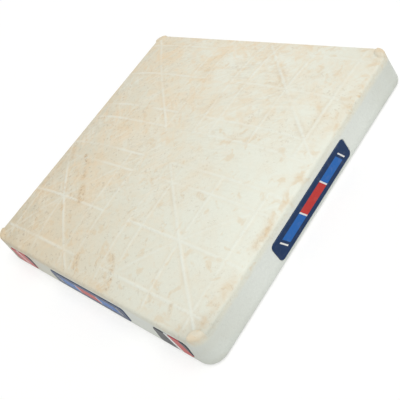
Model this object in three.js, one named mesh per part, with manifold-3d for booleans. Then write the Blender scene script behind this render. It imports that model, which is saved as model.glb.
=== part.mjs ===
// A crowned square base for a ball field: moulded rubber cover, foam core, steel plate and ground stem.
// Millimetres, +Z up. The origin is in the ground plane under the middle of the base.
// One insert is in the side that faces +X, and three are in the side that faces -Y.

import * as THREE from 'three';
import { mergeVertices } from 'three/addons/utils/BufferGeometryUtils.js';
import Module from 'manifold-3d';

// Cover: outline and crown
const FOOT_SIDE = 381; // width across the foot, 15 inches
const CORNER_RADIUS = 19; // plan radius of the foot's corners
const EDGE_HEIGHT = 43; // ground to where the crown starts
const SIDE_DRAFT = 4; // how far a side leans in from foot to top
const FOOT_ROUND = 5; // radius under the foot
const EDGE_ROUND = 4; // radius between side and crown
const EDGE_ARC = THREE.MathUtils.degToRad(72); // turn of that radius, which ends along the crown's slope
const CROWN_RISE = 13.5; // height of the crown over its edge
const CROWN_POWER = 4.3; // a higher power gives a flatter middle and a steeper rim

// Cover: walls
const COVER_WALL = 10;
const LIP_THICKNESS = 3.8; // turned-in lip that holds the plate up
const LIP_OVERLAP = 24; // width of plate that the lip covers
const LIP_CORNER = 10; // plan radius of the opening in the lip
const INNER_CORNER_MIN = 4;

// Tread: four tiles of ribs, one in each quarter of the top, and a button in each corner
const RIB_WIDTH = 3.2;
const RIB_HEIGHT = 1.2;
const RIB_ROOT = 6; // depth of a rib below the crown's edge, where it joins the wall
const RIB_SET_BACK = 1; // the ribs fade out this far inside the sides
const BARE_BAND_HALF = 23; // half width of the plain cross between the tiles
const FRAME_INSET = 23.3; // a tile's edge to its square frame
const BUTTON_RADIUS = 11;
const BUTTON_HEIGHT = 2; // over the crown's edge
const BUTTON_ROUND = 1.4;
const BUTTON_ROOT = 5;
const BUTTON_FROM_EDGE = 4.5; // side's top edge to the button's centre: the corner cuts the button off
const BUTTON_SET_BACK = 0.3; // the cut face lies this far inside the sides

// Inserts and their pockets
const LONG_INSERT = 140;
const BADGE_LENGTH = 48;
const BADGE_FROM_END = 49.5; // end of the foot's side to a badge's centre
const INSERT_WIDTH = 24;
const INSERT_CORNER = 5;
const INSERT_MIDDLE = 18.9; // height of an insert's centre over the ground
const INSERT_PROUD = 0.6;
const INSERT_BEVEL = 0.6;
const POCKET_DEPTH = 3.3;
const FIT_CLEARANCE = 0.3;
const PEG_RADIUS = 2.5;
const PEG_LENGTH = 4.7;
const PEG_TIP = 1;
const PEG_END = 12; // end of a plate to its last peg
const LONG_PEGS = 3;
const BADGE_PEGS = 2;

// Steel parts
const PLATE_THICKNESS = 3;
const PLATE_CLEARANCE = 0.5;
const FLANGE_SIDE = 112;
const FLANGE_CORNER = 8;
const FLANGE_THICKNESS = 5;
const STEM_SIDE = 38.1; // 1.5 inch square tube
const STEM_WALL = 3.2;
const STEM_CORNER = 4;
const STEM_BORE_CORNER_MIN = 0.8;
const STEM_DEPTH = 102; // length of stem below the ground plane
const STEM_LEAD = 1.6; // chamfer that leads the stem into its sleeve
const BOLT_SPACING = 80;
const BOLT_RADIUS = 4;
const BOLT_HEAD_RADIUS = 10;
const BOLT_HEAD_HEIGHT = 3.2;
const BOLT_HEAD_FLAT = 6; // radius of the flat on top of a bolt's head
const BOLT_HEAD_SHOULDER = 9; // radius half way down the head
const BOLT_END = 2.5; // thread past the nut
const WASHER_RADIUS = 8;
const WASHER_THICKNESS = 1.6;
const NUT_ACROSS_FLATS = 13;
const NUT_HEIGHT = 6.5;

// Core
const CORE_CLEARANCE = 0.4;
const CORE_POCKET_MARGIN = 4; // room round the flange and over the bolts

// Facets
const FOOT_STEPS = 3;
const EDGE_STEPS = 3;
const CORNER_STEPS = 4;
const SIDE_FRACTIONS = [-0.6, 0.6]; // points along a straight side, as shares of its half
const CROWN_RINGS = [0.9, 0.74, 0.5]; // rings of the crown, as shares of its rim
const ROUND_SEGMENTS = 20;
const SMALL_SEGMENTS = 12;

// Working values
const CUT_MARGIN = 1; // a cutter passes this far out of what it cuts
const WELD_TOLERANCE = 1e-4; // points closer than this are one

// Sizes that follow from those above
const FOOT_HALF = FOOT_SIDE / 2;
const TOP_HALF = FOOT_HALF - SIDE_DRAFT;
const SIDE_TOP = EDGE_HEIGHT - EDGE_ROUND * Math.sin(EDGE_ARC);
const SIDE_LEAN = Math.atan(SIDE_DRAFT / (SIDE_TOP - FOOT_ROUND));
const PLATE_TOP = LIP_THICKNESS + PLATE_THICKNESS;
const FLANGE_TOP = PLATE_TOP + FLANGE_THICKNESS;
const WASHER_TOP = FLANGE_TOP + WASHER_THICKNESS;
const NUT_TOP = WASHER_TOP + NUT_HEIGHT;
const BOLT_TOP = NUT_TOP + BOLT_END;
const PLATE_HALF = sideHalf(PLATE_TOP) - COVER_WALL - PLATE_CLEARANCE;
const PLATE_CORNER = Math.max(INNER_CORNER_MIN, CORNER_RADIUS - COVER_WALL);
const LIP_HALF = PLATE_HALF - LIP_OVERLAP;
const TILE_MIDDLE = (BARE_BAND_HALF + TOP_HALF) / 2;
const BADGE_OFFSET = FOOT_HALF - BADGE_FROM_END; // middle of the side to a badge's centre
const BOLT_HOLE_RADIUS = BOLT_RADIUS + FIT_CLEARANCE;

const wasm = await Module();
wasm.setup();

// Half width of the plain side at a height
function sideHalf(z) {
  return FOOT_HALF - SIDE_DRAFT * (z - FOOT_ROUND) / (SIDE_TOP - FOOT_ROUND);
}

// Closed geometry to a solid that can be joined and cut
function solidOf(geometry) {
  const bare = geometry.index ? geometry.toNonIndexed() : geometry.clone();
  bare.deleteAttribute('normal');
  bare.deleteAttribute('uv');
  const merged = mergeVertices(bare, WELD_TOLERANCE);
  const vertProperties = new Float32Array(merged.attributes.position.array);
  const triVerts = new Uint32Array(merged.index.array);
  return new wasm.Manifold(new wasm.Mesh({ numProp: 3, vertProperties, triVerts }));
}

// Solid back to a geometry
function geometryOf(solid) {
  const mesh = solid.getMesh();
  const geometry = new THREE.BufferGeometry();
  geometry.setAttribute('position', new THREE.BufferAttribute(mesh.vertProperties, 3));
  geometry.setIndex(new THREE.BufferAttribute(mesh.triVerts, 1));
  geometry.computeVertexNormals();
  return geometry;
}

// Joins a list of solids into one
function joined(solids) {
  return solids.reduce((whole, solid) => whole.add(solid));
}

// Flat outline of a rectangle with rounded corners, centred on the origin
function roundedRectangle(length, width, radius) {
  const x = length / 2;
  const y = width / 2;
  const shape = new THREE.Shape();
  shape.moveTo(-x + radius, -y);
  shape.lineTo(x - radius, -y);
  shape.absarc(x - radius, -y + radius, radius, -Math.PI / 2, 0, false);
  shape.lineTo(x, y - radius);
  shape.absarc(x - radius, y - radius, radius, 0, Math.PI / 2, false);
  shape.lineTo(-x + radius, y);
  shape.absarc(-x + radius, y - radius, radius, Math.PI / 2, Math.PI, false);
  shape.lineTo(-x, -y + radius);
  shape.absarc(-x + radius, -y + radius, radius, Math.PI, Math.PI * 1.5, false);
  return shape;
}

// Prism of a shape between two heights
function prism(shape, bottom, top, curveSegments = CORNER_STEPS) {
  const depth = top - bottom;
  const geometry = new THREE.ExtrudeGeometry(shape, { depth, bevelEnabled: false, curveSegments });
  return geometry.translate(0, 0, bottom);
}

// Profile of [radius, height] points turned about Z
function turned(profile, segments = ROUND_SEGMENTS) {
  const points = profile.map(([radius, height]) => new THREE.Vector2(radius, height));
  return new THREE.LatheGeometry(points, segments).rotateX(Math.PI / 2);
}

// The four bolt positions
function boltPlaces() {
  const reach = BOLT_SPACING / 2;
  return [[1, 1], [-1, 1], [-1, -1], [1, -1]].map(([x, y]) => [x * reach, y * reach]);
}

// Points of a square with rounded corners at one height, anticlockwise from above
function squareRing(half, height) {
  const radius = Math.max(INNER_CORNER_MIN, CORNER_RADIUS - (FOOT_HALF - half));
  const flat = half - radius;
  const points = [];
  for (let corner = 0; corner < 4; corner++) {
    const turn = new THREE.Matrix4().makeRotationZ(corner * Math.PI / 2);
    for (let step = 0; step <= CORNER_STEPS; step++) {
      const angle = (step / CORNER_STEPS) * Math.PI / 2;
      const x = flat + radius * Math.cos(angle);
      const y = flat + radius * Math.sin(angle);
      points.push(new THREE.Vector3(x, y, height).applyMatrix4(turn));
    }
    for (const share of SIDE_FRACTIONS) {
      points.push(new THREE.Vector3(-share * flat, half, height).applyMatrix4(turn));
    }
  }
  return points;
}

// Height of the crown over its rim at a point, with the rim at the given half width
function crownHeight(x, y, rim) {
  const acrossX = 1 - Math.abs(x / rim) ** CROWN_POWER;
  const acrossY = 1 - Math.abs(y / rim) ** CROWN_POWER;
  return CROWN_RISE * acrossX * acrossY;
}

// Skins a stack of rings with a flat bottom and a peak
function loft(rings, peak) {
  const count = rings[0].length;
  const vertices = [...rings.flat(), new THREE.Vector3(0, 0, rings[0][0].z), peak];
  const bottomCentre = vertices.length - 2;
  const top = vertices.length - 1;
  const lastRing = (rings.length - 1) * count;
  const index = [];
  for (let i = 0; i < count; i++) {
    const next = (i + 1) % count;
    index.push(bottomCentre, next, i);
    for (let level = 0; level + 1 < rings.length; level++) {
      const low = level * count;
      const high = low + count;
      index.push(low + i, low + next, high + next);
      index.push(low + i, high + next, high + i);
    }
    index.push(top, lastRing + i, lastRing + next);
  }
  const geometry = new THREE.BufferGeometry().setFromPoints(vertices);
  geometry.setIndex(index);
  return geometry;
}

// The crowned form of the base, drawn in from its sides and raised or lowered as one
function crownedForm({ inset, lift, bottom, footRound }) {
  const rings = [];
  if (footRound > 0) {
    for (let step = 0; step <= FOOT_STEPS; step++) {
      const angle = (step / FOOT_STEPS) * Math.PI / 2;
      const half = FOOT_HALF - inset - footRound * (1 - Math.sin(angle));
      rings.push(squareRing(half, bottom + footRound * (1 - Math.cos(angle))));
    }
  } else {
    rings.push(squareRing(sideHalf(bottom) - inset, bottom));
  }
  let rim = TOP_HALF - inset;
  for (let step = 0; step <= EDGE_STEPS; step++) {
    const angle = (step / EDGE_STEPS) * EDGE_ARC;
    const drop = EDGE_ROUND * (Math.sin(EDGE_ARC) - Math.sin(angle));
    rim = TOP_HALF - inset - EDGE_ROUND * (1 - Math.cos(angle));
    rings.push(squareRing(rim, EDGE_HEIGHT + lift - drop));
  }
  const rimRing = rings[rings.length - 1];
  for (const share of CROWN_RINGS) {
    rings.push(rimRing.map((point) => {
      const x = point.x * share;
      const y = point.y * share;
      return new THREE.Vector3(x, y, EDGE_HEIGHT + lift + crownHeight(x, y, rim));
    }));
  }
  return loft(rings, new THREE.Vector3(0, 0, EDGE_HEIGHT + lift + CROWN_RISE));
}

// Straight upright blade between two points of the plan, tall enough to pass through the crown
function ribBlade([x0, y0], [x1, y1]) {
  const bottom = EDGE_HEIGHT - RIB_ROOT;
  const top = EDGE_HEIGHT + CROWN_RISE + RIB_ROOT;
  const length = Math.hypot(x1 - x0, y1 - y0) + RIB_WIDTH;
  const blade = new THREE.BoxGeometry(length, RIB_WIDTH, top - bottom);
  blade.rotateZ(Math.atan2(y1 - y0, x1 - x0));
  blade.translate((x0 + x1) / 2, (y0 + y1) / 2, (bottom + top) / 2);
  return solidOf(blade);
}

// Ribs of one tile: inner borders, square frame, cross and both diagonals
function tileBlades(signX, signY) {
  const near = BARE_BAND_HALF;
  const far = TOP_HALF;
  const lines = [near, near + FRAME_INSET, TILE_MIDDLE, far - FRAME_INSET];
  const spans = lines.flatMap((line) => [[[near, line], [far, line]], [[line, near], [line, far]]]);
  spans.push([[near, near], [far, far]], [[near, far], [far, near]]);
  const place = ([x, y]) => [x * signX, y * signY];
  return spans.map(([from, to]) => ribBlade(place(from), place(to)));
}

// The crowned form drawn in and raised, which trims what stands on the crown
function raisedForm(inset, lift) {
  return solidOf(crownedForm({ inset, lift, bottom: LIP_THICKNESS, footRound: 0 }));
}

// Raised tread: blades trimmed to the crown at rib height, and buttons trimmed to the corners
function treadSolid() {
  const blades = [];
  const buttons = [];
  const button = turned([
    [0, EDGE_HEIGHT - BUTTON_ROOT],
    [BUTTON_RADIUS, EDGE_HEIGHT - BUTTON_ROOT],
    [BUTTON_RADIUS, EDGE_HEIGHT + BUTTON_HEIGHT - BUTTON_ROUND],
    [BUTTON_RADIUS - BUTTON_ROUND, EDGE_HEIGHT + BUTTON_HEIGHT],
    [0, EDGE_HEIGHT + BUTTON_HEIGHT],
  ]);
  const reach = TOP_HALF - BUTTON_FROM_EDGE;
  for (const signX of [-1, 1]) {
    for (const signY of [-1, 1]) {
      blades.push(...tileBlades(signX, signY));
      buttons.push(solidOf(button.clone().translate(signX * reach, signY * reach, 0)));
    }
  }
  const ribs = joined(blades).intersect(raisedForm(RIB_SET_BACK, RIB_HEIGHT));
  return ribs.add(joined(buttons).intersect(raisedForm(BUTTON_SET_BACK, BUTTON_HEIGHT)));
}

// Frame of an insert on a side: x along the side, y up its slope and z straight out of its face
function sideFrame(sideAngle, along) {
  const out = new THREE.Vector3(Math.cos(SIDE_LEAN), 0, Math.sin(SIDE_LEAN));
  const up = new THREE.Vector3(-Math.sin(SIDE_LEAN), 0, Math.cos(SIDE_LEAN));
  const frame = new THREE.Matrix4().makeBasis(new THREE.Vector3(0, 1, 0), up, out);
  frame.setPosition(sideHalf(INSERT_MIDDLE), along, INSERT_MIDDLE);
  return frame.premultiply(new THREE.Matrix4().makeRotationZ(sideAngle));
}

// Places of the pegs along a plate
function pegPlaces({ length, pegs }) {
  const reach = length / 2 - PEG_END;
  return Array.from({ length: pegs }, (_, i) => -reach + (2 * reach * i) / (pegs - 1));
}

// Room for an insert: the pocket in the side and the holes for its pegs
function pocketSolid(insert) {
  const length = insert.length + 2 * FIT_CLEARANCE;
  const width = INSERT_WIDTH + 2 * FIT_CLEARANCE;
  const outline = roundedRectangle(length, width, INSERT_CORNER + FIT_CLEARANCE);
  const holeBottom = -POCKET_DEPTH - PEG_LENGTH - FIT_CLEARANCE;
  const hole = turned([
    [0, holeBottom],
    [PEG_RADIUS + FIT_CLEARANCE, holeBottom],
    [PEG_RADIUS + FIT_CLEARANCE, 0],
    [0, 0],
  ], SMALL_SEGMENTS);
  const placed = pegPlaces(insert).map((x) => hole.clone().translate(x, 0, 0));
  const holes = placed.map((bore) => solidOf(bore.applyMatrix4(insert.frame)));
  const pocket = prism(outline, -POCKET_DEPTH, POCKET_DEPTH).applyMatrix4(insert.frame);
  return joined([solidOf(pocket), ...holes]);
}

// Plate with moulded edges and pegs on its back
function insertGeometry(insert) {
  const back = FIT_CLEARANCE - POCKET_DEPTH;
  const plate = new THREE.ExtrudeGeometry(roundedRectangle(insert.length, INSERT_WIDTH, INSERT_CORNER), {
    depth: INSERT_PROUD - back - 2 * INSERT_BEVEL,
    bevelThickness: INSERT_BEVEL,
    bevelSize: INSERT_BEVEL,
    bevelOffset: -INSERT_BEVEL,
    bevelSegments: 1,
    curveSegments: CORNER_STEPS,
  }).translate(0, 0, back + INSERT_BEVEL);
  const tip = -POCKET_DEPTH - PEG_LENGTH;
  const peg = turned([
    [0, tip],
    [PEG_RADIUS - PEG_TIP, tip],
    [PEG_RADIUS, tip + PEG_TIP],
    [PEG_RADIUS, back + INSERT_BEVEL],
    [0, back + INSERT_BEVEL],
  ], SMALL_SEGMENTS);
  const pegs = pegPlaces(insert).map((x) => solidOf(peg.clone().translate(x, 0, 0)));
  return geometryOf(joined([solidOf(plate), ...pegs]));
}

// Rubber cover: crowned shell with tread, open underside with a lip, and pockets
function coverGeometry(inserts) {
  const outside = crownedForm({ inset: 0, lift: 0, bottom: 0, footRound: FOOT_ROUND });
  const hollow = crownedForm({ inset: COVER_WALL, lift: -COVER_WALL, bottom: LIP_THICKNESS, footRound: 0 });
  const lipOutline = roundedRectangle(2 * LIP_HALF, 2 * LIP_HALF, LIP_CORNER);
  const opening = prism(lipOutline, -CUT_MARGIN, LIP_THICKNESS + CUT_MARGIN);
  const cuts = joined([solidOf(hollow), solidOf(opening), ...inserts.map(pocketSolid)]);
  return geometryOf(solidOf(outside).add(treadSolid()).subtract(cuts));
}

// Foam core: fills the cover above the plate, with a pocket over the flange and bolts
function coreGeometry() {
  const inset = COVER_WALL + CORE_CLEARANCE;
  const bottom = PLATE_TOP + CORE_CLEARANCE;
  const block = crownedForm({ inset, lift: -inset, bottom, footRound: 0 });
  const pocketSide = FLANGE_SIDE + 2 * CORE_POCKET_MARGIN;
  const outline = roundedRectangle(pocketSide, pocketSide, FLANGE_CORNER);
  const pocket = prism(outline, bottom - CUT_MARGIN, BOLT_TOP + CORE_POCKET_MARGIN);
  return geometryOf(solidOf(block).subtract(solidOf(pocket)));
}

// Steel sheet between two heights with the stem's square hole and a hole at each bolt
function drilledSheet(side, corner, bottom, top, boltHole) {
  const outline = roundedRectangle(side, side, corner);
  const stemSide = STEM_SIDE + 2 * FIT_CLEARANCE;
  const stemHole = roundedRectangle(stemSide, stemSide, STEM_CORNER + FIT_CLEARANCE);
  outline.holes.push(new THREE.Path(stemHole.getPoints(CORNER_STEPS)));
  boltHole.translate(0, 0, (bottom + top) / 2);
  const holes = boltPlaces().map(([x, y]) => solidOf(boltHole.clone().translate(x, y, 0)));
  return geometryOf(solidOf(prism(outline, bottom, top)).subtract(joined(holes)));
}

// Bottom plate: its square holes stop the bolts from turning
function plateGeometry() {
  const hole = new THREE.BoxGeometry(2 * BOLT_HOLE_RADIUS, 2 * BOLT_HOLE_RADIUS, 2 * PLATE_THICKNESS);
  return drilledSheet(2 * PLATE_HALF, PLATE_CORNER, LIP_THICKNESS, PLATE_TOP, hole);
}

// Flange above the plate
function flangeGeometry() {
  const depth = 2 * FLANGE_THICKNESS;
  const hole = new THREE.CylinderGeometry(BOLT_HOLE_RADIUS, BOLT_HOLE_RADIUS, depth, SMALL_SEGMENTS);
  return drilledSheet(FLANGE_SIDE, FLANGE_CORNER, PLATE_TOP, FLANGE_TOP, hole.rotateX(Math.PI / 2));
}

// Square tube, open at both ends, with a chamfer at its lower end
function stemGeometry() {
  const bore = STEM_SIDE - 2 * STEM_WALL;
  const boreCorner = Math.max(STEM_CORNER - STEM_WALL, STEM_BORE_CORNER_MIN);
  const outline = roundedRectangle(STEM_SIDE, STEM_SIDE, STEM_CORNER);
  outline.holes.push(new THREE.Path(roundedRectangle(bore, bore, boreCorner).getPoints(CORNER_STEPS)));
  const tube = solidOf(prism(outline, -STEM_DEPTH, FLANGE_TOP));
  const height = FLANGE_TOP + STEM_DEPTH + STEM_LEAD;
  const narrow = STEM_SIDE / 2 - STEM_LEAD;
  const lead = new THREE.CylinderGeometry((narrow + height) * Math.SQRT2, narrow * Math.SQRT2, height, 4);
  lead.rotateX(Math.PI / 2).rotateZ(Math.PI / 4).translate(0, 0, height / 2 - STEM_DEPTH);
  return geometryOf(tube.intersect(solidOf(lead)));
}

// Carriage bolt: low round head under the plate, square neck in the plate and a round shank
function boltGeometry() {
  const head = LIP_THICKNESS - BOLT_HEAD_HEIGHT;
  const round = turned([
    [0, head],
    [BOLT_HEAD_FLAT, head],
    [BOLT_HEAD_SHOULDER, head + BOLT_HEAD_HEIGHT / 2],
    [BOLT_HEAD_RADIUS, LIP_THICKNESS],
    [BOLT_RADIUS, LIP_THICKNESS],
    [BOLT_RADIUS, BOLT_TOP],
    [0, BOLT_TOP],
  ]);
  const neck = new THREE.BoxGeometry(2 * BOLT_RADIUS, 2 * BOLT_RADIUS, PLATE_THICKNESS);
  neck.translate(0, 0, LIP_THICKNESS + PLATE_THICKNESS / 2);
  return geometryOf(solidOf(round).add(solidOf(neck)));
}

// Washer on the flange
function washerGeometry() {
  return turned([
    [BOLT_HOLE_RADIUS, FLANGE_TOP],
    [WASHER_RADIUS, FLANGE_TOP],
    [WASHER_RADIUS, WASHER_TOP],
    [BOLT_HOLE_RADIUS, WASHER_TOP],
    [BOLT_HOLE_RADIUS, FLANGE_TOP],
  ]);
}

// Hexagon nut on the washer
function nutGeometry() {
  const corner = NUT_ACROSS_FLATS / Math.sqrt(3);
  const hexagon = new THREE.CylinderGeometry(corner, corner, NUT_HEIGHT, 6);
  const depth = 2 * NUT_HEIGHT;
  const hole = new THREE.CylinderGeometry(BOLT_HOLE_RADIUS, BOLT_HOLE_RADIUS, depth, SMALL_SEGMENTS);
  const nut = geometryOf(solidOf(hexagon).subtract(solidOf(hole)));
  return nut.rotateX(Math.PI / 2).translate(0, 0, (WASHER_TOP + NUT_TOP) / 2);
}

// Named piece with its own material
function piece(name, geometry, colour, roughness, metalness) {
  const material = new THREE.MeshStandardMaterial({ color: colour, roughness, metalness });
  const mesh = new THREE.Mesh(geometry, material);
  mesh.name = name;
  return mesh;
}

const RIGHT_SIDE = 0;
const FRONT_SIDE = -Math.PI / 2;
const inserts = [
  {
    name: 'right_insert',
    length: LONG_INSERT,
    pegs: LONG_PEGS,
    frame: sideFrame(RIGHT_SIDE, 0),
    colour: 0x24345e,
  },
  {
    name: 'front_insert',
    length: LONG_INSERT,
    pegs: LONG_PEGS,
    frame: sideFrame(FRONT_SIDE, 0),
    colour: 0x24345e,
  },
  {
    name: 'front_left_badge',
    length: BADGE_LENGTH,
    pegs: BADGE_PEGS,
    frame: sideFrame(FRONT_SIDE, -BADGE_OFFSET),
    colour: 0xa83a34,
  },
  {
    name: 'front_right_badge',
    length: BADGE_LENGTH,
    pegs: BADGE_PEGS,
    frame: sideFrame(FRONT_SIDE, BADGE_OFFSET),
    colour: 0x2c2d33,
  },
];

const base = new THREE.Group();
base.add(piece('rubber_cover', coverGeometry(inserts), 0xe9e7d7, 0.75, 0));
base.add(piece('foam_core', coreGeometry(), 0x3b3d40, 0.95, 0));
base.add(piece('base_plate', plateGeometry(), 0x8d9196, 0.45, 1));
base.add(piece('stem_flange', flangeGeometry(), 0x8d9196, 0.45, 1));
base.add(piece('stem_tube', stemGeometry(), 0x9a9ea3, 0.4, 1));

for (const insert of inserts) {
  const plate = piece(insert.name, insertGeometry(insert), insert.colour, 0.4, 0);
  plate.applyMatrix4(insert.frame);
  base.add(plate);
}

boltPlaces().forEach(([x, y], i) => {
  const fixing = new THREE.Group();
  fixing.position.set(x, y, 0);
  fixing.add(piece(`stem_bolt_${i + 1}`, boltGeometry(), 0xb0b3b6, 0.35, 1));
  fixing.add(piece(`stem_washer_${i + 1}`, washerGeometry(), 0xb0b3b6, 0.4, 1));
  fixing.add(piece(`stem_nut_${i + 1}`, nutGeometry(), 0xb0b3b6, 0.4, 1));
  base.add(fixing);
});

export default base;
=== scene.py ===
"""Looks of a crowned ball-field base: rubber cover, foam core, steel plate, ground stem and side plates.

Sizes are millimetres in the frame's axes, and a mesh turns them to metres when it is made.
"""

import logging
import math
from abc import ABC, abstractmethod
from dataclasses import dataclass, field
from enum import Enum
from typing import Any

import bpy
import numpy as np
from bpy.types import Material, Mesh, Node, NodeSocket, NodeTree, Object
from mathutils import Matrix, Quaternion, Vector, noise


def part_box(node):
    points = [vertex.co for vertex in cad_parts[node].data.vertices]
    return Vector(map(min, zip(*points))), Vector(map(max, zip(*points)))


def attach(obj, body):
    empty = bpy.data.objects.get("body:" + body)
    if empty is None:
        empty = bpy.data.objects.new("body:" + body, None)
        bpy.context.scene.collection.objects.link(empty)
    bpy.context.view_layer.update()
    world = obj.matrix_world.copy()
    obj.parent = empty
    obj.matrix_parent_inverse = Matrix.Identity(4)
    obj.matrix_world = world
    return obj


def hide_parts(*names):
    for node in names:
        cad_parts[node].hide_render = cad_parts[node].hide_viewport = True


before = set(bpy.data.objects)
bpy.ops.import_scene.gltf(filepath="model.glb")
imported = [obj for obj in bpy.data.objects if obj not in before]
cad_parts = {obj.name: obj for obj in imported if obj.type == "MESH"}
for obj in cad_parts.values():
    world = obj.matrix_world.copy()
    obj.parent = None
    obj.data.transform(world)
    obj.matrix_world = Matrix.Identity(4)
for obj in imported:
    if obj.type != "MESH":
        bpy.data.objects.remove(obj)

LOG = logging.getLogger("field_base")
MM = 0.001
TINY = 1e-9
MARGIN = 1.0  # how far a cut runs past the faces that it opens
UP_TURN = math.pi / 2
SHARP_ANGLE = math.radians(32)

# Seeds of the patterns
WEAR_SEED = 0.5
SAG_SEED = 3.5
STROKE_SEED = 10.0
ZONE_SEED = 20.0
SCRATCH_SEED = 31.0

# Sockets of a colour Mix node, whose names repeat
MIX_FACTOR = 0
MIX_UNDER = 6
MIX_OVER = 7
MIX_RESULT = 2


def linear(colour: str) -> tuple[float, float, float, float]:
    """Turns an sRGB hex colour to linear red, green, blue and alpha.

    Args:
        colour: Six hex digits after a hash sign.

    Returns:
        Four numbers for a colour socket.
    """
    shares = [int(colour[i : i + 2], 16) / 255 for i in (1, 3, 5)]
    bent = [s / 12.92 if s <= 0.04045 else ((s + 0.055) / 1.055) ** 2.4 for s in shares]
    return (*bent, 1.0)


def per_size(size: float) -> float:
    """Scale of a texture, in metres of object space, whose pattern repeats about every size millimetres."""
    return 1.0 / (size * MM)


def add_node(tree: NodeTree, kind: str, inputs: dict | None = None, **settings: Any) -> Node:
    """Adds a node with its settings, and sets or links its inputs.

    Args:
        tree: Tree that gets the node.
        kind: Blender's name of the node type, after ShaderNode.
        inputs: Socket name or index to a constant, or to an output socket that is linked there.
        **settings: Properties of the node.

    Returns:
        The new node.
    """
    node = tree.nodes.new(f"ShaderNode{kind}")
    for name, value in settings.items():
        setattr(node, name, value)
    for key, value in (inputs or {}).items():
        if isinstance(value, NodeSocket):
            tree.links.new(value, node.inputs[key])
        else:
            node.inputs[key].default_value = value
    return node


def new_material(name: str) -> tuple[Material, NodeTree, NodeSocket]:
    """Makes an empty node material.

    Args:
        name: Name of the material.

    Returns:
        The material, its tree and the surface socket of its output.
    """
    material = bpy.data.materials.new(name)
    material.use_nodes = True
    material.node_tree.nodes.clear()
    output = add_node(material.node_tree, "OutputMaterial")
    return material, material.node_tree, output.inputs["Surface"]


def smooth_step(low: float, high: float, value: np.ndarray) -> np.ndarray:
    """Rises smoothly from 0 at low to 1 at high, and the other way round where high is below low."""
    share = np.clip((value - low) / (high - low), 0, 1)
    return share * share * (3 - 2 * share)


def waves(x: np.ndarray, y: np.ndarray, size: float, seed: float) -> np.ndarray:
    """Smooth noise about 0 at points of the plan, whose waves are about size millimetres long."""
    return np.array([noise.noise((u / size, v / size, seed)) for u, v in zip(x, y)])


@dataclass
class Shell:
    """A closed surface on its way to a mesh: points in millimetres, and faces that turn outwards."""

    points: np.ndarray
    faces: list[tuple[int, ...]]

    def placed(self, matrix: Matrix) -> "Shell":
        """The same shell, moved by a matrix in millimetres."""
        place = np.array(matrix)
        return Shell(self.points @ place[:3, :3].T + place[:3, 3], self.faces)

    def shifted(self, x: float, y: float) -> "Shell":
        """The same shell, moved in plan."""
        return Shell(self.points + (x, y, 0), self.faces)

    def as_object(self, name: str) -> Object:
        """Makes an object of the shell, in metres.

        Args:
            name: Name of the object.

        Returns:
            The object, linked to the scene.
        """
        mesh = bpy.data.meshes.new(name)
        mesh.from_pydata((self.points * MM).tolist(), [], self.faces)
        mesh.update()
        made = bpy.data.objects.new(name, mesh)
        bpy.context.scene.collection.objects.link(made)
        return made


def loft(rings: list[np.ndarray]) -> Shell:
    """Skins rings that lie one above the other, with a flat cap at both ends.

    Args:
        rings: Points of each ring, anticlockwise from above, from the lowest ring to the highest.

    Returns:
        A closed shell.
    """
    count = len(rings[0])
    faces: list[tuple[int, ...]] = [tuple(range(count - 1, -1, -1))]
    for level in range(len(rings) - 1):
        low, high = level * count, (level + 1) * count
        for i in range(count):
            following = (i + 1) % count
            faces.append((low + i, low + following, high + following, high + i))
    faces.append(tuple(range((len(rings) - 1) * count, len(rings) * count)))
    return Shell(np.concatenate(rings), faces)


def rounded_ring(half_x: float, half_y: float, radius: float, z: float, steps: int = 8) -> np.ndarray:
    """Points of a rectangle with rounded corners, anticlockwise from above.

    Args:
        half_x: Half of its length.
        half_y: Half of its width.
        radius: Radius of its corners.
        z: Height of the ring.
        steps: Parts of each corner.

    Returns:
        An array of points.
    """
    points = []
    for corner, (sign_x, sign_y) in enumerate(((1, 1), (-1, 1), (-1, -1), (1, -1))):
        for step in range(steps + 1):
            angle = (corner + step / steps) * UP_TURN
            x = sign_x * (half_x - radius) + radius * math.cos(angle)
            y = sign_y * (half_y - radius) + radius * math.sin(angle)
            points.append((x, y, z))
    return np.array(points)


def square_ring(half: float, radius: float, z: float, steps: int = 8) -> np.ndarray:
    """Points of a square with rounded corners, anticlockwise from above."""
    return rounded_ring(half, half, radius, z, steps)


def round_ring(radius: float | np.ndarray, z: float, segments: int) -> np.ndarray:
    """Points of a ring about the Z axis, anticlockwise from above, of one radius or one for each."""
    turn = np.arange(segments) * (2 * math.pi / segments)
    return np.stack([radius * np.cos(turn), radius * np.sin(turn), np.full(segments, z)], 1)


def turned(profile: list[tuple[float, float]], segments: int = 48) -> Shell:
    """Turns a profile of radius and height, from its lowest ring to its highest, about the Z axis."""
    return loft([round_ring(radius, z, segments) for radius, z in profile])


def quarter(radius: float, steps: int) -> list[tuple[float, float]]:
    """A quarter circle as (in from the side, up from its start), from an upright side to a level top."""
    turns = [UP_TURN * step / steps for step in range(steps + 1)]
    return [(radius * (1 - math.cos(turn)), radius * math.sin(turn)) for turn in turns]


class Joining(Enum):
    """How a second shell changes the first."""

    ADD = "UNION"
    CUT = "DIFFERENCE"
    TRIM = "INTERSECT"


def combine(body: Object, changes: list[tuple[Joining, Shell]]) -> None:
    """Joins shells to an object and cuts shells from it, in order.

    Args:
        body: Object whose mesh is changed.
        changes: How each shell is used, and the shell.
    """
    tools = [shell.as_object("tool") for _, shell in changes]
    for (joining, _), tool in zip(changes, tools):
        modifier = body.modifiers.new("combine", "BOOLEAN")
        modifier.operation = joining.value
        modifier.solver = "MANIFOLD"
        modifier.object = tool
    bpy.context.view_layer.update()
    before = body.data
    body.data = bpy.data.meshes.new_from_object(body.evaluated_get(bpy.context.evaluated_depsgraph_get()))
    body.modifiers.clear()
    bpy.data.meshes.remove(before)
    for tool in tools:
        bpy.data.meshes.remove(tool.data)


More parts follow.
